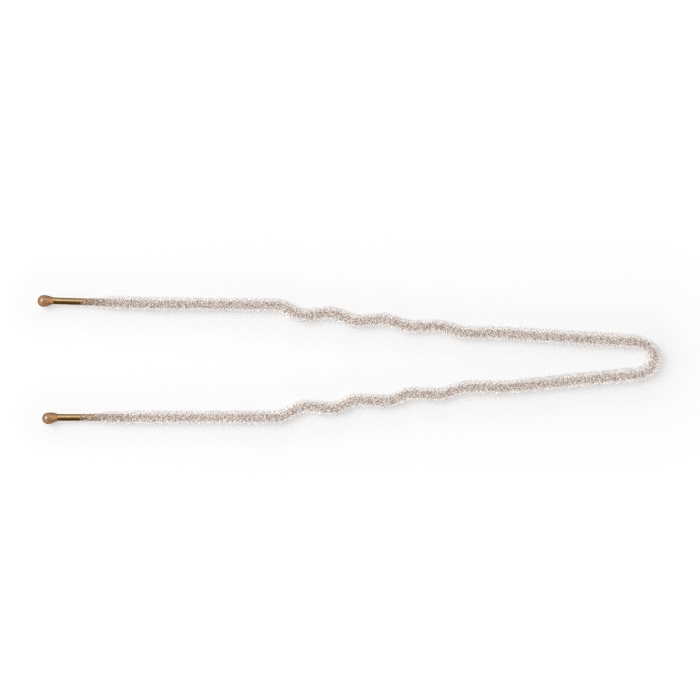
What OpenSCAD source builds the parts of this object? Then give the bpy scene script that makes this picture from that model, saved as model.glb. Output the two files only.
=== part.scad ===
// French hair pin: a crimped U of brass wire with a flocked coat and two resin ball tips.
// It lies flat on z = 0, with its prong ends towards -x and its head towards +x. The
// origin is under the middle of its outline.

/* [Pin] */
// Length from the end of the upper ball to the outside of the coated head
pin_length = 75; // [66:1:90]
// Distance between the two ball tips, centre to centre
prong_spread = 14.1; // [11:0.1:18]
// How much shorter the lower prong is than the upper one
prong_difference = 0.5; // [0:0.1:2]

/* [Wire] */
// Diameter of the wire
wire_d = 0.82; // [0.6:0.01:0.9]
// Radius of the wire's centre line in a crimp
crimp_radius = 2.9; // [1.5:0.1:4]

/* [Head] */
// Radius of the wire's centre line at the very end of the head
nose_radius = 1.6; // [1:0.05:2.2]
// Angle of the nose bend on each side of the pin's long axis
nose_angle = 35; // [20:1:60]
// Radius of the wire's centre line where the nose runs over into a prong
shoulder_radius = 2.5; // [2:0.05:3.2]
// How far the head sits off the middle of the prongs, towards the upper one
head_offset = 0.09; // [-1:0.01:1]

/* [Ball tips] */
// Diameter of a ball
ball_d = 1.44; // [1.3:0.02:2]
// Distance from the centre of a ball to the end of its neck on the wire
neck_reach = 1.05; // [0.9:0.05:1.8]
// Thickness of the resin round the wire at the end of the neck
neck_lip = 0.04; // [0.03:0.01:0.1]

/* [Flock coat] */
// Outer diameter of the coat
flock_d = 1.46; // [1.2:0.02:1.8]
// Outer diameter of the coat where it starts on a prong
flock_start_d = 1; // [0.98:0.02:1.16]
// Distance from the outer end of the pin to the start of the coat
flock_start = 5.1; // [3.8:0.1:7]
// Length over which the coat grows to its full diameter
flock_taper = 5; // [2:0.1:6]

/* [Fit] */
// Gap between the wire and what sits on it
fit_gap = 0.02; // [0.01:0.005:0.04]

/* [Hidden] */
$fn = 48;

// Columns of the bend tables: the station as a share of pin_length from the outer end,
// the offset as a share of half of prong_spread, and the bend as a share of crimp_radius
STATION = 0;
OFFSET = 1;
BEND = 2;
UPPER_BENDS = [
    [0.181, 0.939, 8],
    [0.388, 0.922, 1],
    [0.423, 0.727, 1],
    [0.471, 0.799, 1],
    [0.509, 0.638, 1],
    [0.556, 0.683, 1],
    [0.595, 0.548, 1],
    [0.644, 0.567, 1],
    [0.681, 0.448, 1],
    [0.740, 0.439, 1],
];
LOWER_BENDS = [
    [0.388, 1.000, 1],
    [0.425, 0.796, 1],
    [0.476, 0.866, 1],
    [0.508, 0.688, 1],
    [0.561, 0.736, 1],
    [0.595, 0.589, 1],
    [0.646, 0.616, 1],
    [0.684, 0.481, 1],
    [0.748, 0.490, 1],
];

// Most of a leg that one of its two bends may take
BEND_ROOM = 0.48;
// How far each run reaches into the bends beside it, and how much thicker in radius
// the bends are, so that a run ends inside them and both make one solid
JOINT_LAP = 0.02;
JOINT_STEP = 0.005;

// Columns of a route: the length of a straight run, or the turn and radius of a bend.
// Every second row is drawn thicker by JOINT_STEP, and the rows between lap into it.
RUN = 0;
TURN = 1;
RADIUS = 2;

wire_r = wire_d / 2;
ball_r = ball_d / 2;
flock_r = flock_d / 2;
bore_r = wire_r + fit_gap;
neck_end_r = bore_r + neck_lip;
axis_height = max(ball_d, flock_d + 2 * JOINT_STEP) / 2;
nose_x = pin_length / 2 - flock_r - nose_radius;

function heading(a, b) = atan2(b[1] - a[1], b[0] - a[0]);
function along(angle) = [cos(angle), sin(angle)];
function across(angle) = [-sin(angle), cos(angle)];
function reversed(rows) = [for (i = [len(rows) - 1:-1:0]) rows[i]];

// Places in a prong's own frame, where y is counted outwards from the long axis
function tip_place(shortfall) = [ball_r - pin_length / 2 + shortfall, prong_spread / 2];
function bend_place(row) =
    [(row[STATION] - 0.5) * pin_length, row[OFFSET] * prong_spread / 2];
function shoulder_place(offset) =
    [nose_x, offset] - (shoulder_radius - nose_radius) * along(nose_angle);

// Radius of a bend, limited by the two legs that it joins
function bend_radius(wish, turn, leg_before, leg_after) =
    min(wish, BEND_ROOM * min(leg_before, leg_after) / tan(abs(turn) / 2));

// Route of one prong from its ball to the nose: a run and a bend for each row of its
// bend table, and then the run that meets the shoulder bend at a tangent
function prong_route(bends, shortfall, offset) =
    let (
        points = concat([tip_place(shortfall)], [for (row = bends) bend_place(row)]),
        last = len(points) - 1,
        shoulder = shoulder_place(offset),
        reach = norm(shoulder - points[last]),
        last_heading = heading(points[last], shoulder) + asin(shoulder_radius / reach),
        headings = concat(
            [for (i = [0:last - 1]) heading(points[i], points[i + 1])],
            last_heading
        ),
        legs = concat(
            [for (i = [0:last - 1]) norm(points[i + 1] - points[i])],
            sqrt(pow(reach, 2) - pow(shoulder_radius, 2))
        ),
        turns = [for (i = [0:last - 1]) headings[i + 1] - headings[i]],
        radii = [for (i = [0:last - 1])
            bend_radius(bends[i][BEND] * crimp_radius, turns[i], legs[i], legs[i + 1])],
        setbacks = concat(0, [for (i = [0:last - 1]) radii[i] * tan(abs(turns[i]) / 2)], 0)
    )
    [for (i = [0:last]) each [
        [legs[i] - setbacks[i] - setbacks[i + 1], 0, 0],
        i < last ? [0, turns[i], radii[i]] : [0, nose_angle - 90 - last_heading, shoulder_radius]
    ]];

// Where each row of a route starts, and its heading there
function starts(rows, place, facing, i = 0) =
    i == len(rows) ? [] :
    let (
        side = sign(rows[i][TURN]),
        end_facing = facing + rows[i][TURN],
        end = place + rows[i][RUN] * along(facing)
            + side * rows[i][RADIUS] * (across(facing) - across(end_facing))
    )
    concat([[place, facing]], starts(rows, end, end_facing, i + 1));

upper_tip = tip_place(0);
lower_tip = tip_place(prong_difference);
upper_heading = heading(upper_tip, bend_place(UPPER_BENDS[0]));
lower_heading = heading(lower_tip, bend_place(LOWER_BENDS[0]));
nose_route = [[0, -2 * nose_angle, nose_radius]];
wire_route = concat(
    prong_route(UPPER_BENDS, 0, head_offset),
    nose_route,
    reversed(prong_route(LOWER_BENDS, prong_difference, -head_offset))
);

// The coat's full-thickness stretch is the wire's route, cut short at both ends
upper_lead = flock_start + flock_taper - ball_r;
lower_lead = upper_lead - prong_difference;
last_row = len(wire_route) - 1;
coat_route = [for (i = [0:last_row])
    i == 0 ? wire_route[0] - [upper_lead, 0, 0] :
    i == last_row ? wire_route[last_row] - [lower_lead, 0, 0] :
    wire_route[i]
];

// Puts what is drawn along +x at a distance along a prong from the centre of its ball
module on_prong(side, tip, facing, distance = 0) {
    place = tip + distance * along(facing);
    translate([place[0], side * place[1], axis_height])
        rotate([0, 0, side * facing])
            children();
}

module on_upper_prong(distance = 0) {
    on_prong(1, upper_tip, upper_heading, distance)
        children();
}

module on_lower_prong(distance = 0) {
    on_prong(-1, lower_tip, lower_heading, distance)
        children();
}

// A straight rod along +x, which laps at both ends
module run(length, r) {
    translate([-JOINT_LAP, 0, 0])
        rotate([0, 90, 0])
            cylinder(h = length + 2 * JOINT_LAP, r = r);
}

// A bent rod that starts along +x and turns left where its turn is positive
module bend(turn, radius, r, lap_angle) {
    mirror([0, turn < 0 ? 1 : 0, 0])
        translate([0, radius, 0])
            rotate([0, 0, -90 - lap_angle])
                rotate_extrude(angle = abs(turn) + 2 * lap_angle)
                    translate([radius, 0])
                        circle(r = r);
}

// A rod of radius r along a route
module rod(rows, r, place, facing) {
    rows_start = starts(rows, place, facing);
    for (i = [0:len(rows) - 1]) {
        thick = i % 2;
        translate([rows_start[i][0][0], rows_start[i][0][1], axis_height])
            rotate([0, 0, rows_start[i][1]])
                if (rows[i][TURN] == 0) {
                    run(rows[i][RUN], r);
                } else {
                    lap_angle = (1 - thick) * JOINT_LAP / rows[i][RADIUS] * 180 / PI;
                    bend(rows[i][TURN], rows[i][RADIUS], r + thick * JOINT_STEP, lap_angle);
                }
    }
}

// The thinner start of the coat, which ends inside the full one
module coat_start() {
    rotate([0, 90, 0])
        cylinder(h = flock_taper, r1 = flock_start_d / 2, r2 = flock_r - JOINT_STEP);
}

// A ball whose back runs out along the wire in one long curve, with a blind bore
module tip() {
    drop = ball_r - neck_end_r;
    back_radius = (pow(drop, 2) + pow(neck_reach, 2)) / (2 * drop);
    rotate([0, 90, 0])
        difference() {
            rotate_extrude() {
                intersection() {
                    circle(r = ball_r);
                    translate([0, -ball_r])
                        square([ball_r, ball_r]);
                }
                intersection() {
                    translate([ball_r - back_radius, 0])
                        circle(r = back_radius);
                    square([ball_r, neck_reach]);
                }
            }
            translate([0, 0, -fit_gap - JOINT_LAP])
                cylinder(h = 2 * neck_reach, r = bore_r);
        }
}

module wire() {
    color("darkgoldenrod")
        rod(wire_route, wire_r, upper_tip, upper_heading);
}

module flock_coat() {
    color([0.80, 0.74, 0.70])
        difference() {
            union() {
                rod(coat_route, flock_r, upper_tip + upper_lead * along(upper_heading), upper_heading);
                on_upper_prong(upper_lead - flock_taper)
                    coat_start();
                on_lower_prong(lower_lead - flock_taper)
                    coat_start();
            }
            rod(wire_route, bore_r, upper_tip, upper_heading);
        }
}

module tip_upper() {
    color("sienna")
        on_upper_prong()
            tip();
}

module tip_lower() {
    color("sienna")
        on_lower_prong()
            tip();
}

wire();
flock_coat();
tip_upper();
tip_lower();
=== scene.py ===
"""Looks of the french hair pin: brass wire, resin drops and a coat of flock fibres, in metres."""
import math

import bpy
import numpy as np
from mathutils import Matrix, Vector
from mathutils.bvhtree import BVHTree


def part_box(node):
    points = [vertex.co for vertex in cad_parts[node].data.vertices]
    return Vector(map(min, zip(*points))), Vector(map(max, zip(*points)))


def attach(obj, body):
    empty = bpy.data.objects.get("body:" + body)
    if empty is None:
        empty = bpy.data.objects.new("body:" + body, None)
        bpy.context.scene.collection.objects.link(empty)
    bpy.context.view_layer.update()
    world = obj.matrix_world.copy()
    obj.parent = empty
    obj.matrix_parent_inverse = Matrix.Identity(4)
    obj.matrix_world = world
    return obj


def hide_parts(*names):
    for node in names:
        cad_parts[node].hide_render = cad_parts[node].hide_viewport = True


MM = 0.001
FULL_TURN = 2 * math.pi
UP = np.array((0.0, 0.0, 1.0))
FLOOR = 0
BODY = "root"

# The photograph: its side in pixels, the size of one pixel on the pin, and the pixel at
# which the pin's origin lies
PHOTO_SIDE = 700
PIXEL = 0.1205 * MM
ORIGIN_IN_PHOTO = (349.1, 358.9)

# The camera: its lens and sensor in millimetres, and how near and how far it sees
LENS = 100
SENSOR = 36
NEAREST = 0.01
FARTHEST = 20

# How many times light may go on from one fibre to the next
BOUNCES = 8

# Steps of the walk along the wire's middle, how much of the wire's end counts as its disc,
# and over how many places each way the headings are averaged
WALK_STEP = 0.2 * MM
END_DISC = 0.03 * MM
HEADING_SPAN = 2

# Length over which the coat grows to its full thickness
TAPER = 5 * MM

# Near the head the fibres are longer: by what share, how far from the head that starts, and
# how steeply it grows, which at 1 would end only at the head itself
SWELL = 0.22
SWELL_REACH = 26 * MM
SWELL_RISE = 1.6

# A thin patch of the coat on the upper side of the head: its distance from the middle of
# the coat, how far it reaches each way, and the shares of fibres and of length it lacks
THIN_PATCH = 2.3 * MM
THIN_REACH = 1.5 * MM
THIN_FEWER = 0.5
THIN_SHORTER = 0.3

# Glue film under the flock: its thickness where the coat is full and where it starts, which
# is a little below the wire's skin, so that only its lumps show there
GLUE_FULL = 0.022 * MM
GLUE_START = -0.003 * MM
GLUE_RING_STEP = 0.14 * MM
GLUE_SIDES = 40

# Height and size of the film's small lumps, and of its slow waves, which fade out where the
# coat is full, and the shares of both that show where the coat starts and where it is full
GLUE_LUMP = 0.018 * MM
GLUE_LUMP_SIZE = 0.26 * MM
GLUE_WAVE = 0.0072 * MM
GLUE_WAVE_SIZE = 1.04 * MM
LUMPS_AT_START = 0.6
LUMPS_AT_FULL = 0.8

# Flock fibres: how many stand on a length of wire, their size, the ranges of what each one's
# length and radius are multiplied by, and the pieces that they are split into
FIBRES_PER_MM = 1500
FIBRE_LENGTH = 0.56 * MM
FIBRE_RADIUS = 0.0078 * MM
LENGTH_RANGE = (0.75, 1.06)
RADIUS_RANGE = (0.8, 1.2)
STRETCHES = 5

# Where the coat starts: the shares of fibres and of length that it has there, and how steeply
# both grow, which at 1 would end only where the taper does
START_FIBRES = 0.3
FIBRES_RISE = 1.2
START_LENGTH = 0.22
LENGTH_RISE = 1.1

# Power that the length's growth is raised to, so that it sets in late
LENGTH_CURVE = 1.3

# Slow waves in the fibres' length
WAVE_SIZE = 0.9 * MM
WAVE_HEIGHT = 0.08

# Tufts: their size, how far they pull their fibres in, how far all of one lean the same way,
# how much their length differs, and the turns that their numbers are spread over, so that
# tufts with near numbers still lean different ways
TUFT_SIZE = 0.32 * MM
TUFT_PULL = 0.5
TUFT_LEAN = 0.3
TUFT_LENGTHS = 0.1
TUFT_TURNS = 17

# How far each fibre tilts by itself, as a share of its length
TILT = 0.3

# Stray fibres, which no tuft pulls in: their share, and how many times as long and as tilted
# as the others they are
STRAY_SHARE = 0.03
STRAY_LENGTH = 1.3
STRAY_TILT = 2.5

# Fibres under the pin end at least this far above the sheet, or up to the spread higher
FLOOR_GAP = 0.004 * MM
FLOOR_SPREAD = 0.03 * MM

# A fibre counts as steep where its direction rises or falls by more than this
STEEP = 0.7

# A fibre's shade, from 0 to 1: the middle one, how far it follows the tuft's number and a
# number of its own, and how much darker it is where the coat starts
SHADE_MIDDLE = 0.5
SHADE_TUFT = 0.7
SHADE_OWN = 0.1
SHADE_START = 0.5

# The fibres' map: the margin at its edges, and half the width of one fibre on it
MAP_EDGE = 0.02
MAP_FIBRE = 0.004

# Seeds of the random numbers
GLUE_LUMP_SEED = 11
GLUE_WAVE_SEED = 12
WAVE_SEED = 13
TUFT_SEED = 7
FIBRE_SEED = 100

# Resin drops: their points round and rings along, how far the neck is drawn out into a thin
# film, how far the bore is sunk into the wire, so that no gap shows, and how deep and how far
# the bore's rim is turned in
DROP_SIDES = 56
DROP_RINGS = 40
NECK_STRETCH = 1.16
BORE_SINK = 0.01 * MM
RIM_DEPTH = 0.01 * MM
RIM_FOLD = 0.002 * MM

# How steeply a drop's sag fades, which at 1 would end only where the neck does
SAG_FADE = 1.3

# Columns of the drops: name, the node it replaces, how far it sags sideways, how hollow its
# back is, and the phase of its unevenness
DROPS = (
    ("drop_upper", "tip_upper", 0.07 * MM, 1.3, 1.0),
    ("drop_lower", "tip_lower", 0.10 * MM, 1.0, 2.3),
)

# Columns of a drop's unevenness: height as a share of its radius, waves round it, how far
# they turn with its phase, and how far they turn from ring to ring
DROP_WAVES = (
    (0.012, 2, 1, 0),
    (0.008, 3, 2, 0.2),
    (0.006, 5, -1, 0.31),
)

# The sheet: half its side, how far from its middle its lines stay close together, its lines each
# way, and the distance from the wire at which its away value, which sets its painted shadow, is a
# half
SHEET_HALF = 2
SHEET_FINE = 0.02
SHEET_LINES = 321
SHEET_REACH = 16 * MM

# Where the room is brightest, and where the glow under the pin comes from
BRIGHT_SIDE = (-0.2, 0.72, 0.69)
GLOW_SIDE = (0, 0.2, -1)

# The lamps: where they hang, how wide they are, and their power in watts
SOFTBOX_PLACE = (-0.354, 0.156, 0.462)
SOFTBOX_WIDTH = 0.4
SOFTBOX_POWER = 3.0
SIDE_LAMP_PLACES = ((-0.40, -0.26, 0.30), (0.40, -0.26, 0.30))
SIDE_LAMP_WIDTH = 0.3
SIDE_LAMP_POWER = 1.68


def unit(rows):
    """Each row at length 1."""
    return rows / np.linalg.norm(rows, axis=-1, keepdims=True)


def smooth(values):
    """Smooth step from 0 to 1."""
    values = np.clip(values, 0, 1)
    return values * values * (3 - 2 * values)


def make_piece(name, points, faces, material, replaced=()):
    """Makes one smooth mesh piece that rides on the pin."""
    mesh = bpy.data.meshes.new(name)
    mesh.from_pydata(points.tolist(), [], faces)
    mesh.polygons.foreach_set("use_smooth", np.full(len(faces), True))
    mesh.materials.append(material)
    piece = bpy.data.objects.new(name, mesh)
    bpy.context.collection.objects.link(piece)
    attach(piece, BODY)
    if replaced:
        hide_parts(*replaced)
    return piece


def tube_faces(rings, sides, is_closed=False):
    """Faces of a tube. A closed one has two more points, the middles of its two ends."""
    index = np.arange(rings * sides).reshape(rings, sides)
    around = np.roll(index, -1, axis=1)
    faces = np.stack([index[:-1], around[:-1], around[1:], index[1:]], axis=-1)
    faces = faces.reshape(-1, 4).tolist()
    if is_closed:
        first = np.full(sides, index.size)
        faces += np.stack([first, around[0], index[0]], axis=-1).tolist()
        faces += np.stack([first + 1, index[-1], around[-1]], axis=-1).tolist()
    return faces


class Axis:
    """The wire's middle line, from the upper prong's end to the lower one's, and its radius."""

    def __init__(self, points, radius):
        self.points = points
        self.radius = radius
        steps = np.linalg.norm(np.diff(points, axis=0), axis=1)
        self.stations = np.concatenate([[0], np.cumsum(steps)])
        self.length = self.stations[-1]
        headings = unit(np.gradient(points, axis=0))
        weights = np.full(2 * HEADING_SPAN + 1, 1 / (2 * HEADING_SPAN + 1))
        padded = np.pad(headings, ((HEADING_SPAN, HEADING_SPAN), (0, 0)), mode="edge")
        softened = [np.convolve(padded[:, i], weights, mode="valid") for i in range(3)]
        self.headings = unit(np.stack(softened, axis=1))

    def sample(self, table, station):
        """Rows of a table at stations between its own."""
        columns = [np.interp(station, self.stations, table[:, i]) for i in range(3)]
        return np.stack(columns, axis=-1)

    def frames(self, station):
        """Place, heading and sideways direction at each station."""
        place = self.sample(self.points, station)
        heading = unit(self.sample(self.headings, station))
        level = np.zeros_like(heading[..., 0])
        side = np.stack([-heading[..., 1], heading[..., 0], level], axis=-1)
        return place, heading, side

    def skin(self, station, angle):
        """Place and heading, and the directions outwards and round the wire at each angle."""
        place, heading, side = self.frames(station)
        cosine = np.cos(angle)[..., None]
        sine = np.sin(angle)[..., None]
        return place, heading, cosine * side + sine * UP, cosine * UP - sine * side

    def station_at(self, x, is_upper):
        """Station of one prong at a given x."""
        half = self.length / 2
        on_prong = self.stations < half if is_upper else self.stations > half
        distance = np.where(on_prong, np.abs(self.points[:, 0] - x), np.inf)
        return self.stations[np.argmin(distance)]


def walk_wire(wire, low, high):
    """Walks through the wire from its upper end, kept in the middle by two sideways rays."""
    tree = BVHTree.FromObject(wire, bpy.context.evaluated_depsgraph_get())
    width = high[2] - low[2]
    upper = [vertex.co for vertex in wire.data.vertices if vertex.co.y > 0]
    end_x = min(co.x for co in upper)
    end_disc = [co.y for co in upper if co.x < end_x + END_DISC]
    place = Vector((end_x, (min(end_disc) + max(end_disc)) / 2, (low[2] + high[2]) / 2))
    heading = Vector((1, 0, 0))
    points = [place]
    while True:
        ahead = points[-1] + WALK_STEP * heading
        side = Vector((-heading.y, heading.x, 0))
        left = tree.ray_cast(ahead, side, width)[0]
        right = tree.ray_cast(ahead, -side, width)[0]
        if left is None or right is None:
            return Axis(np.array(points), width / 2)
        middle = (left + right) / 2
        heading = (middle - points[-1]).normalized()
        points.append(middle)


class Coat:
    """Where the coat lies on the wire, and how full it is along the way."""

    def __init__(self, axis, start, end):
        self.axis = axis
        self.start = start
        self.end = end
        self.middle = (start + end) / 2

    def fullness(self, station):
        """How full the coat is at a station, from 0 where it starts to 1."""
        from_end = np.minimum(station - self.start, self.end - station)
        return np.clip(from_end / TAPER, 0, 1)

    def swell(self, station):
        """How much longer the fibres are at a station, as a factor that peaks at the head."""
        from_head = np.abs(station - self.middle)
        return 1 + SWELL * smooth(SWELL_RISE * (1 - from_head / SWELL_REACH))

    def thinness(self, station):
        """How thin the coat is at a station, from 0 to 1 in the middle of its thin patch."""
        return smooth(1 - np.abs(station - self.middle + THIN_PATCH) / THIN_REACH)


def grid_cells(station, angle, size, columns):
    """Places on a grid that is wrapped round the wire, with the row and column of each."""
    along = station / size
    around = angle / FULL_TURN * columns
    return along, around, np.floor(along).astype(int), np.floor(around).astype(int)


def lumps(station, angle, size, radius, seed):
    """Smooth noise from -1 to 1 on the skin of the wire, with lumps of one size."""
    columns = max(3, round(FULL_TURN * radius / size))
    along, around, row, column = grid_cells(station, angle, size, columns)
    grid = np.random.default_rng(seed).uniform(-1, 1, (row.max() + 2, columns))
    down = smooth(along - row)
    across = smooth(around - column)
    before = column % columns
    after = (column + 1) % columns
    first = grid[row, before] * (1 - across) + grid[row, after] * across
    second = grid[row + 1, before] * (1 - across) + grid[row + 1, after] * across
    return first * (1 - down) + second * down


def nearest_tuft(station, angle, radius):
    """Offsets from each root to the middle of its tuft, and the tuft's own random number."""
    columns = round(FULL_TURN * radius / TUFT_SIZE)
    along, around, row, column = grid_cells(station, angle, TUFT_SIZE, columns)
    rng = np.random.default_rng(TUFT_SEED)
    middles = rng.uniform(0, 1, (row.max() + 3, columns, 3))
    best = np.full(len(station), np.inf)
    offset_along = np.zeros(len(station))
    offset_around = np.zeros(len(station))
    number = np.zeros(len(station))
    for i in (-1, 0, 1):
        for j in (-1, 0, 1):
            middle = middles[row + i + 1, (column + j) % columns]
            step_along = row + i + middle[:, 0] - along
            step_around = column + j + middle[:, 1] - around
            distance = step_along ** 2 + step_around ** 2
            nearer = distance < best
            best = np.where(nearer, distance, best)
            offset_along = np.where(nearer, step_along, offset_along)
            offset_around = np.where(nearer, step_around, offset_around)
            number = np.where(nearer, middle[:, 2], number)
    return offset_along * TUFT_SIZE, offset_around * TUFT_SIZE, number


def glue_film(coat, material):
    """Lumpy film of glue, which rises out of the wire at a ragged edge."""
    wire_r = coat.axis.radius
    rings = round((coat.end - coat.start) / GLUE_RING_STEP)
    station, angle = np.meshgrid(
        np.linspace(coat.start, coat.end, rings),
        np.linspace(0, FULL_TURN, GLUE_SIDES, endpoint=False),
        indexing="ij",
    )
    fullness = coat.fullness(station)
    thickness = GLUE_START + (GLUE_FULL - GLUE_START) * smooth(fullness)
    lump = GLUE_LUMP * lumps(station, angle, GLUE_LUMP_SIZE, wire_r, GLUE_LUMP_SEED)
    wave = GLUE_WAVE * lumps(station, angle, GLUE_WAVE_SIZE, wire_r, GLUE_WAVE_SEED)
    shown = LUMPS_AT_START + (LUMPS_AT_FULL - LUMPS_AT_START) * fullness
    radius = wire_r + thickness + (lump + wave * (1 - fullness)) * shown
    radius[[0, -1]] = wire_r - GLUE_LUMP
    place, _, outward, _ = coat.axis.skin(station, angle)
    points = place + radius[..., None] * outward
    faces = tube_faces(rings, GLUE_SIDES)
    make_piece("glue_film", points.reshape(-1, 3), faces, material)


def fibre_mesh(name, roots, tips, shade, rng, material, replaced):
    """One pointed fibre from each root to its tip. The map's u is its shade, v its height."""
    count = len(roots)
    direction = unit(tips - roots)
    is_steep = np.abs(direction[:, 2:]) >= STEEP
    first = unit(np.cross(direction, np.where(is_steep, (1, 0, 0), UP)))
    second = np.cross(direction, first)
    start_angle = rng.uniform(0, FULL_TURN, count)
    radius = FIBRE_RADIUS * rng.uniform(*RADIUS_RANGE, count)

    # Three corners round the root, and the tip as the last one
    corners = []
    for k in range(3):
        angle = start_angle + FULL_TURN * k / 3
        offset_first = (radius * np.cos(angle))[:, None] * first
        offset_second = (radius * np.sin(angle))[:, None] * second
        corners.append(roots + offset_first + offset_second)
    points = np.stack(corners + [tips], axis=1).reshape(-1, 3)
    pattern = np.array([(2, 1, 0), (0, 1, 3), (1, 2, 3), (2, 0, 3)])
    faces = (4 * np.arange(count)[:, None, None] + pattern).reshape(-1, 3)
    piece = make_piece(name, points, faces.tolist(), material, replaced)
    layer = piece.data.uv_layers.new(name="OFBake")
    corner = pattern.ravel()
    inside = 1 - 2 * MAP_EDGE
    uv = np.empty((count, len(corner), 2))
    uv[:, :, 0] = MAP_EDGE + inside * shade[:, None] + MAP_FIBRE * (corner % 3 - 1)
    uv[:, :, 1] = MAP_EDGE + inside * (corner == 3)
    layer.data.foreach_set("uv", uv.ravel())


def fibre_roots(coat, first, last, rng):
    """Station and angle of each fibre's root in one stretch of the coat."""
    count = round((last - first) / MM * FIBRES_PER_MM)
    station = rng.uniform(first, last, count)
    angle = rng.uniform(0, FULL_TURN, count)
    cover = START_FIBRES + (1 - START_FIBRES) * smooth(FIBRES_RISE * coat.fullness(station))
    cover = cover * (1 - THIN_FEWER * coat.thinness(station))
    kept = rng.uniform(0, 1, count) < cover
    return station[kept], angle[kept]


def fibre_lengths(coat, station, angle, number, rng):
    """Length of each fibre, which follows the coat, slow waves, its tuft and its own luck."""
    growth = smooth(LENGTH_RISE * coat.fullness(station)) ** LENGTH_CURVE
    length = FIBRE_LENGTH * (START_LENGTH + (1 - START_LENGTH) * growth) * coat.swell(station)
    own = rng.uniform(*LENGTH_RANGE, len(station))
    wave = WAVE_HEIGHT * lumps(station, angle, WAVE_SIZE, coat.axis.radius, WAVE_SEED)
    length = length * own * (1 + wave + TUFT_LENGTHS * (number - 0.5))
    return length * (1 - THIN_SHORTER * coat.thinness(station))


def fibre_shades(coat, station, number, rng):
    """Shade of each fibre, which follows its tuft and its own luck, and how full the coat is."""
    own = SHADE_OWN * rng.normal(0, 1, len(station))
    shade = SHADE_MIDDLE + SHADE_TUFT * (number - 0.5) + own
    return np.clip(shade - SHADE_START * (1 - coat.fullness(station)), 0, 1)


def flock(coat, material):
    """The fibres of the coat, in a few pieces along the pin."""
    wire_r = coat.axis.radius
    edges = np.linspace(coat.start, coat.end, STRETCHES + 1)
    for i in range(STRETCHES):
        rng = np.random.default_rng(FIBRE_SEED + i)
        station, angle = fibre_roots(coat, edges[i], edges[i + 1], rng)
        count = len(station)
        along, around, number = nearest_tuft(station, angle, wire_r)
        length = fibre_lengths(coat, station, angle, number, rng)
        is_stray = rng.uniform(0, 1, count) < STRAY_SHARE
        length = np.where(is_stray, STRAY_LENGTH * length, length)
        tilt = TILT * np.where(is_stray, STRAY_TILT, 1) * length
        pull = np.where(is_stray, 0, TUFT_PULL)
        lean = TUFT_LEAN * length
        way = FULL_TURN * TUFT_TURNS * number
        along = pull * along + lean * np.cos(way) + tilt * rng.normal(0, 1, count)
        around = pull * around + lean * np.sin(way) + tilt * rng.normal(0, 1, count)
        place, heading, outward, round_it = coat.axis.skin(station, angle)
        roots = place + wire_r * outward
        sweep = along[:, None] * heading + around[:, None] * round_it
        tips = roots + length[:, None] * unit(length[:, None] * outward + sweep)
        lowest = FLOOR + FLOOR_GAP + FLOOR_SPREAD * rng.uniform(0, 1, count)
        tips[:, 2] = np.maximum(tips[:, 2], lowest)
        shade = fibre_shades(coat, station, number, rng)
        replaced = ("flock_coat",) if i == 0 else ()
        fibre_mesh("flock_%d" % (i + 1), roots, tips, shade, rng, material, replaced)


def drop_profile(ball_r, neck, bore_r, hollow):
    """Distances along the wire and radii of a drop, from its front pole to its lip."""
    turn = np.linspace(0, math.pi / 2, DROP_RINGS // 2, endpoint=False)
    front = np.stack([-ball_r * np.cos(turn), ball_r * np.sin(turn)], axis=1)
    share = np.linspace(0, 1, DROP_RINGS // 2 + 1)
    fall = np.cos(math.pi / 2 * share) ** hollow
    back = np.stack([neck * share, bore_r + (ball_r - bore_r) * fall], axis=1)
    return np.concatenate([front, back])


def unevenness(ring, lip, angle, phase):
    """Waves in a drop's skin as a share of its radius, which fade out at its pole and lip."""
    waves = sum(
        height * np.cos(count * angle + turns * phase + twist * ring)
        for height, count, turns, twist in DROP_WAVES
    )
    return waves * np.sin(math.pi * np.clip(ring / lip, 0, 1))


def resin_drop(axis, station, way, material, name, node, sag, hollow, phase):
    """A drop of resin on a prong's end, a little uneven, with a blind bore for the wire.

    Its way is 1 where the axis starts in it and -1 where the axis ends in it.
    """
    low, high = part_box(node)
    ball_r = (high[2] - low[2]) / 2
    neck = NECK_STRETCH * (high[0] - low[0] - ball_r)
    bore_r = axis.radius - BORE_SINK
    skin = drop_profile(ball_r, neck, bore_r, hollow)
    bore = np.array([[neck - RIM_DEPTH, bore_r - RIM_FOLD], [0, bore_r - RIM_FOLD]])
    profile = np.concatenate([skin, bore])
    lip = len(skin) - 1
    ring = np.arange(len(profile))[:, None]
    is_skin = ring < lip
    angle = np.linspace(0, FULL_TURN, DROP_SIDES, endpoint=False)
    along = profile[:, :1]
    radius = profile[:, 1:] * (1 + unevenness(ring, lip, angle, phase) * is_skin)
    shift = -sag * (1 - smooth(SAG_FADE * along / neck)) * is_skin
    centre, heading, side = axis.frames(np.array([station]))
    points = (
        centre
        + way * along[..., None] * heading
        + way * (radius * np.cos(angle) + shift)[..., None] * side
        + (radius * np.sin(angle))[..., None] * UP
    )
    pole = points[:1, 0]
    rings = points[1:]
    faces = tube_faces(len(rings), DROP_SIDES, is_closed=True)
    points = np.concatenate([rings.reshape(-1, 3), pole, centre])
    make_piece(name, points, faces, material, (node,))


def new_material(name):
    """A new material, its node tree and its shader."""
    material = bpy.data.materials.new(name)
    material.use_nodes = True
    tree = material.node_tree
    return material, tree, tree.nodes["Principled BSDF"]


def grey(value):
    """A linear grey."""
    return (value, value, value)


def ramp(tree, source, stops):
    """A colour ramp with its stops as (position, linear colour)."""
    node = tree.nodes.new("ShaderNodeValToRGB")
    elements = node.color_ramp.elements
    while len(elements) < len(stops):
        elements.new(0.5)
    for element, (position, colour) in zip(elements, stops):
        element.position = position
        element.color = (*colour, 1)
    tree.links.new(source, node.inputs["Fac"])
    return node.outputs["Color"]


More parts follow.
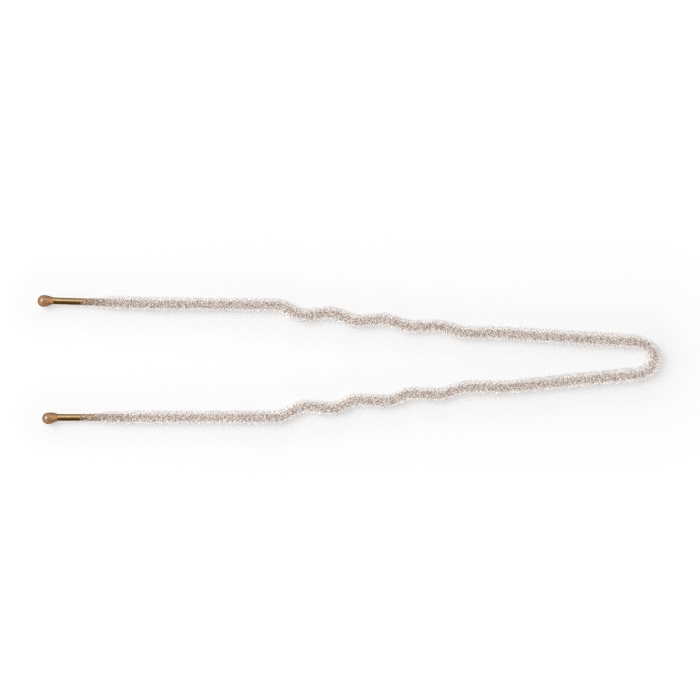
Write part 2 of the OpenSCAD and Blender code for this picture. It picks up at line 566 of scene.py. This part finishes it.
def noise(tree, scale, stretch=(1, 1, 1)):
    """Noise in the object's own coordinates, stretched along an axis."""
    place = tree.nodes.new("ShaderNodeTexCoord")
    mapping = tree.nodes.new("ShaderNodeMapping")
    mapping.inputs["Scale"].default_value = stretch
    texture = tree.nodes.new("ShaderNodeTexNoise")
    texture.inputs["Scale"].default_value = scale
    texture.inputs["Detail"].default_value = 2
    tree.links.new(place.outputs["Object"], mapping.inputs["Vector"])
    tree.links.new(mapping.outputs["Vector"], texture.inputs["Vector"])
    return texture.outputs["Fac"]


def lengthways(tree):
    """How far along the x side of its own box a place is, from 0 to 1."""
    place = tree.nodes.new("ShaderNodeTexCoord")
    split = tree.nodes.new("ShaderNodeSeparateXYZ")
    tree.links.new(place.outputs["Generated"], split.inputs["Vector"])
    return split.outputs["X"]


def blend(tree, mode, first, second):
    """Two colours added or multiplied."""
    mix = tree.nodes.new("ShaderNodeMix")
    mix.data_type = "RGBA"
    mix.blend_type = mode
    mix.inputs["Factor"].default_value = 1
    tree.links.new(first, mix.inputs["A"])
    tree.links.new(second, mix.inputs["B"])
    return mix.outputs["Result"]


def bump(tree, shader, height, strength, distance):
    """Makes a surface uneven without a change to its mesh."""
    node = tree.nodes.new("ShaderNodeBump")
    node.inputs["Strength"].default_value = strength
    node.inputs["Distance"].default_value = distance
    tree.links.new(height, node.inputs["Height"])
    tree.links.new(node.outputs["Normal"], shader.inputs["Normal"])


def brass():
    """Drawn brass, with faint lines along the wire."""
    material, tree, shader = new_material("drawn_brass")
    shader.inputs["Metallic"].default_value = 1
    lines = noise(tree, 9000, (0.02, 1, 1))
    colour = ramp(tree, lines, [(0.3, (0.42, 0.295, 0.145)), (0.7, (0.49, 0.355, 0.19))])
    tree.links.new(colour, shader.inputs["Base Color"])
    rough = ramp(tree, lines, [(0.3, grey(0.24)), (0.7, grey(0.18))])
    tree.links.new(rough, shader.inputs["Roughness"])
    bump(tree, shader, lines, 0.06, 0.002 * MM)
    return material


def resin():
    """Clouded brown resin, darker the deeper light goes through it."""
    material, tree, shader = new_material("brown_resin")
    shader.inputs["IOR"].default_value = 1.52
    shader.inputs["Roughness"].default_value = 0.16
    shader.inputs["Transmission Weight"].default_value = 0.62
    shader.inputs["Coat Weight"].default_value = 0.8
    shader.inputs["Coat Roughness"].default_value = 0.12
    blotches = noise(tree, 2600)
    colour = ramp(tree, blotches, [(0.3, (0.48, 0.265, 0.135)), (0.7, (0.59, 0.345, 0.19))])
    tree.links.new(colour, shader.inputs["Base Color"])
    bump(tree, shader, noise(tree, 5200), 0.05, 0.01 * MM)
    depth = tree.nodes.new("ShaderNodeVolumeAbsorption")
    depth.inputs["Color"].default_value = (0.66, 0.58, 0.34, 1)
    depth.inputs["Density"].default_value = 1400
    tree.links.new(depth.outputs["Volume"], tree.nodes["Material Output"].inputs["Volume"])
    return material


def glue():
    """Blotchy brown glue, darker and warmer towards the prongs' ends."""
    material, tree, shader = new_material("brown_glue")
    shader.inputs["Roughness"].default_value = 0.5
    blotches = noise(tree, 4200)
    colour = ramp(tree, blotches, [(0.42, (0.20, 0.16, 0.14)), (0.58, (0.54, 0.465, 0.42))])
    along = ramp(tree, lengthways(tree), [(0.0, (0.56, 0.41, 0.29)), (0.14, grey(1))])
    tree.links.new(blend(tree, "MULTIPLY", colour, along), shader.inputs["Base Color"])
    bump(tree, shader, noise(tree, 9000), 0.3, 0.01 * MM)
    return material


def greige_fibre():
    """Translucent greige fibres, coloured by the shade in their map, with painted shade by the
    height in it, darkest at the roots deep among the fibres.
    """
    material, tree, shader = new_material("greige_fibre")
    shader.inputs["Roughness"].default_value = 0.7
    shader.inputs["Sheen Weight"].default_value = 0.25
    shader.inputs["Sheen Roughness"].default_value = 0.4
    shader.inputs["Specular IOR Level"].default_value = 0.3
    shader.inputs["Subsurface Weight"].default_value = 1
    shader.inputs["Subsurface Radius"].default_value = (1, 0.9, 0.85)
    shader.inputs["Subsurface Scale"].default_value = 0.06 * MM
    place = tree.nodes.new("ShaderNodeUVMap")
    place.uv_map = "OFBake"
    split = tree.nodes.new("ShaderNodeSeparateXYZ")
    tree.links.new(place.outputs["UV"], split.inputs["Vector"])
    shade = ramp(tree, split.outputs["X"], [
        (0.0, (0.665, 0.565, 0.515)),
        (0.5, (0.77, 0.695, 0.66)),
        (1.0, (0.81, 0.75, 0.72)),
    ])
    # Painted shade by height: darker at the roots, deep among the fibres, and a little darker
    # again at the tips.
    height = ramp(tree, split.outputs["Y"], [
        (0.0, (0.88, 0.84, 0.81)),
        (0.4, (0.96, 0.955, 0.95)),
        (1.0, (0.93, 0.90, 0.88)),
    ])
    tree.links.new(blend(tree, "MULTIPLY", shade, height), shader.inputs["Base Color"])
    return material


def sheet_with_painted_shadow():
    """A sheet that glows like a light table, less so round the pin as painted shadow, with a
    painted warm reflection of the brass beside the wire, by its away value.
    """
    material, tree, shader = new_material("sheet_with_painted_shadow")
    shader.inputs["Base Color"].default_value = (*grey(0.4), 1)
    shader.inputs["Roughness"].default_value = 1
    shader.inputs["Specular IOR Level"].default_value = 0
    away = tree.nodes.new("ShaderNodeAttribute")
    away.attribute_name = "away"
    # Painted shadow: the glow is dimmer round the pin and rises to white far off. The warm rise
    # at 0.03 is a painted reflection of light thrown off the brass just beside the wire.
    glow = ramp(tree, away.outputs["Fac"], [
        (0.0, (0.36, 0.35, 0.34)),
        (0.03, (0.405, 0.393, 0.378)),
        (0.045, (0.338, 0.338, 0.338)),
        (0.062, (0.345, 0.353, 0.362)),
        (0.085, (0.332, 0.349, 0.367)),
        (0.144, (0.338, 0.354, 0.370)),
        (0.24, (0.374, 0.391, 0.406)),
        (0.42, (0.403, 0.420, 0.436)),
        (0.5, (0.455, 0.472, 0.488)),
        (0.9, grey(1)),
    ])
    tree.links.new(glow, shader.inputs["Emission Color"])
    shader.inputs["Emission Strength"].default_value = 1
    return material


def studio_sheet(axis):
    """The sheet under the pin, with its away value, which sets its painted shadow: 0 at the wire
    and near 1 far off.
    """
    steps = np.linspace(-1, 1, SHEET_LINES) * math.asinh(SHEET_HALF / SHEET_FINE)
    lines = SHEET_FINE * np.sinh(steps)
    x, y = np.meshgrid(lines, lines, indexing="ij")
    wire_x = axis.points[:, 0]
    wire_y = axis.points[:, 1]
    distance = np.concatenate([
        np.hypot(row_x[:, None] - wire_x, row_y[:, None] - wire_y).min(axis=1)
        for row_x, row_y in zip(x, y)
    ])
    points = np.stack([x.ravel(), y.ravel(), np.full(x.size, FLOOR)], axis=1)
    index = np.arange(x.size).reshape(x.shape)
    corners = [index[:-1, :-1], index[1:, :-1], index[1:, 1:], index[:-1, 1:]]
    faces = np.stack(corners, axis=-1).reshape(-1, 4)
    mesh = bpy.data.meshes.new("sheet")
    mesh.from_pydata(points.tolist(), [], faces.tolist())
    layer = mesh.attributes.new("away", "FLOAT", "POINT")
    layer.data.foreach_set("value", distance / (distance + SHEET_REACH))
    mesh.materials.append(sheet_with_painted_shadow())
    sheet = bpy.data.objects.new("sheet", mesh)
    sheet.visible_glossy = False
    sheet.visible_transmission = False
    bpy.context.collection.objects.link(sheet)


def lamp(name, place, width, power, is_main):
    """A square lamp that faces the pin. Only the main one casts shadows and is mirrored."""
    data = bpy.data.lights.new(name, "AREA")
    data.shape = "SQUARE"
    data.size = width
    data.energy = power
    data.use_shadow = is_main
    box = bpy.data.objects.new(name, data)
    box.location = place
    box.rotation_euler = (-Vector(place)).to_track_quat("-Z", "Y").to_euler()
    box.visible_camera = False
    box.visible_glossy = is_main
    bpy.context.collection.objects.link(box)


def closeness(tree, place, way):
    """How close a direction is to a given way, from -1 to 1."""
    node = tree.nodes.new("ShaderNodeVectorMath")
    node.operation = "DOT_PRODUCT"
    node.inputs[1].default_value = Vector(way).normalized()
    tree.links.new(place.outputs["Generated"], node.inputs[0])
    return node.outputs["Value"]


def studio_world():
    """A dim room, bright on its far side and below the pin. The camera sees plain white."""
    world = bpy.data.worlds.new("studio")
    bpy.context.scene.world = world
    world.use_nodes = True
    tree = world.node_tree
    place = tree.nodes.new("ShaderNodeTexCoord")
    room = ramp(tree, closeness(tree, place, BRIGHT_SIDE), [
        (0.0, (0.17, 0.10, 0.04)),
        (0.5, (0.26, 0.21, 0.15)),
        (0.7, (0.48, 0.45, 0.40)),
        (0.93, grey(1)),
    ])
    glow = ramp(tree, closeness(tree, place, GLOW_SIDE), [(0.80, grey(0)), (1.0, grey(0.95))])
    rays = tree.nodes.new("ShaderNodeLightPath")
    seen = tree.nodes.new("ShaderNodeMix")
    seen.data_type = "RGBA"
    seen.inputs["B"].default_value = (*grey(1), 1)
    tree.links.new(rays.outputs["Is Camera Ray"], seen.inputs["Factor"])
    tree.links.new(blend(tree, "ADD", room, glow), seen.inputs["A"])
    background = tree.nodes["Background"]
    background.inputs["Strength"].default_value = 1.0
    tree.links.new(seen.outputs["Result"], background.inputs["Color"])


def studio_lamps():
    """A softbox high on the left, and two side lamps that brighten the near flank."""
    lamp("softbox", SOFTBOX_PLACE, SOFTBOX_WIDTH, SOFTBOX_POWER, True)
    for i, place in enumerate(SIDE_LAMP_PLACES):
        lamp("side_lamp_%d" % (i + 1), place, SIDE_LAMP_WIDTH, SIDE_LAMP_POWER, False)


def camera(height):
    """A camera straight above the pin, which sees at that height what the photo shows."""
    data = bpy.data.cameras.new("camera")
    data.lens = LENS
    data.sensor_width = SENSOR
    data.clip_start = NEAREST
    data.clip_end = FARTHEST
    view = bpy.data.objects.new("camera", data)
    distance = PHOTO_SIDE * PIXEL * LENS / SENSOR
    middle = PHOTO_SIDE / 2
    view.location = (
        (middle - ORIGIN_IN_PHOTO[0]) * PIXEL,
        (ORIGIN_IN_PHOTO[1] - middle) * PIXEL,
        height + distance,
    )
    bpy.context.collection.objects.link(view)
    bpy.context.scene.camera = view


def picture_settings():
    """Plain colours, fibres that aren't smoothed away, and light that gets in among them."""
    scene = bpy.context.scene
    scene.view_settings.view_transform = "Standard"
    scene.cycles.use_denoising = False
    scene.cycles.diffuse_bounces = BOUNCES


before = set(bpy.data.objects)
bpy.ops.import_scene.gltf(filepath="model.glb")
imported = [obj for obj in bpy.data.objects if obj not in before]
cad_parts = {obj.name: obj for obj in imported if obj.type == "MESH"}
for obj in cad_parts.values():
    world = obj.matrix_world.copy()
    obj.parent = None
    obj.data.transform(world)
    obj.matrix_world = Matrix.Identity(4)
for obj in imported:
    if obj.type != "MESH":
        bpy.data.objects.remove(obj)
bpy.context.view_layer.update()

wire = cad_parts["wire"]
wire_low, wire_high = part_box("wire")
axis_height = (wire_high[2] + wire_low[2]) / 2
axis = walk_wire(wire, wire_low, wire_high)
coat_end_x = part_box("flock_coat")[0][0]
coat = Coat(axis, axis.station_at(coat_end_x, True), axis.station_at(coat_end_x, False))

camera(axis_height)
picture_settings()
studio_world()
studio_lamps()
studio_sheet(axis)

wire.data.materials.clear()
wire.data.materials.append(brass())
glue_film(coat, glue())
flock(coat, greige_fibre())
resin_material = resin()
for station, way, drop in zip((0, axis.length), (1, -1), DROPS):
    resin_drop(axis, station, way, resin_material, *drop)
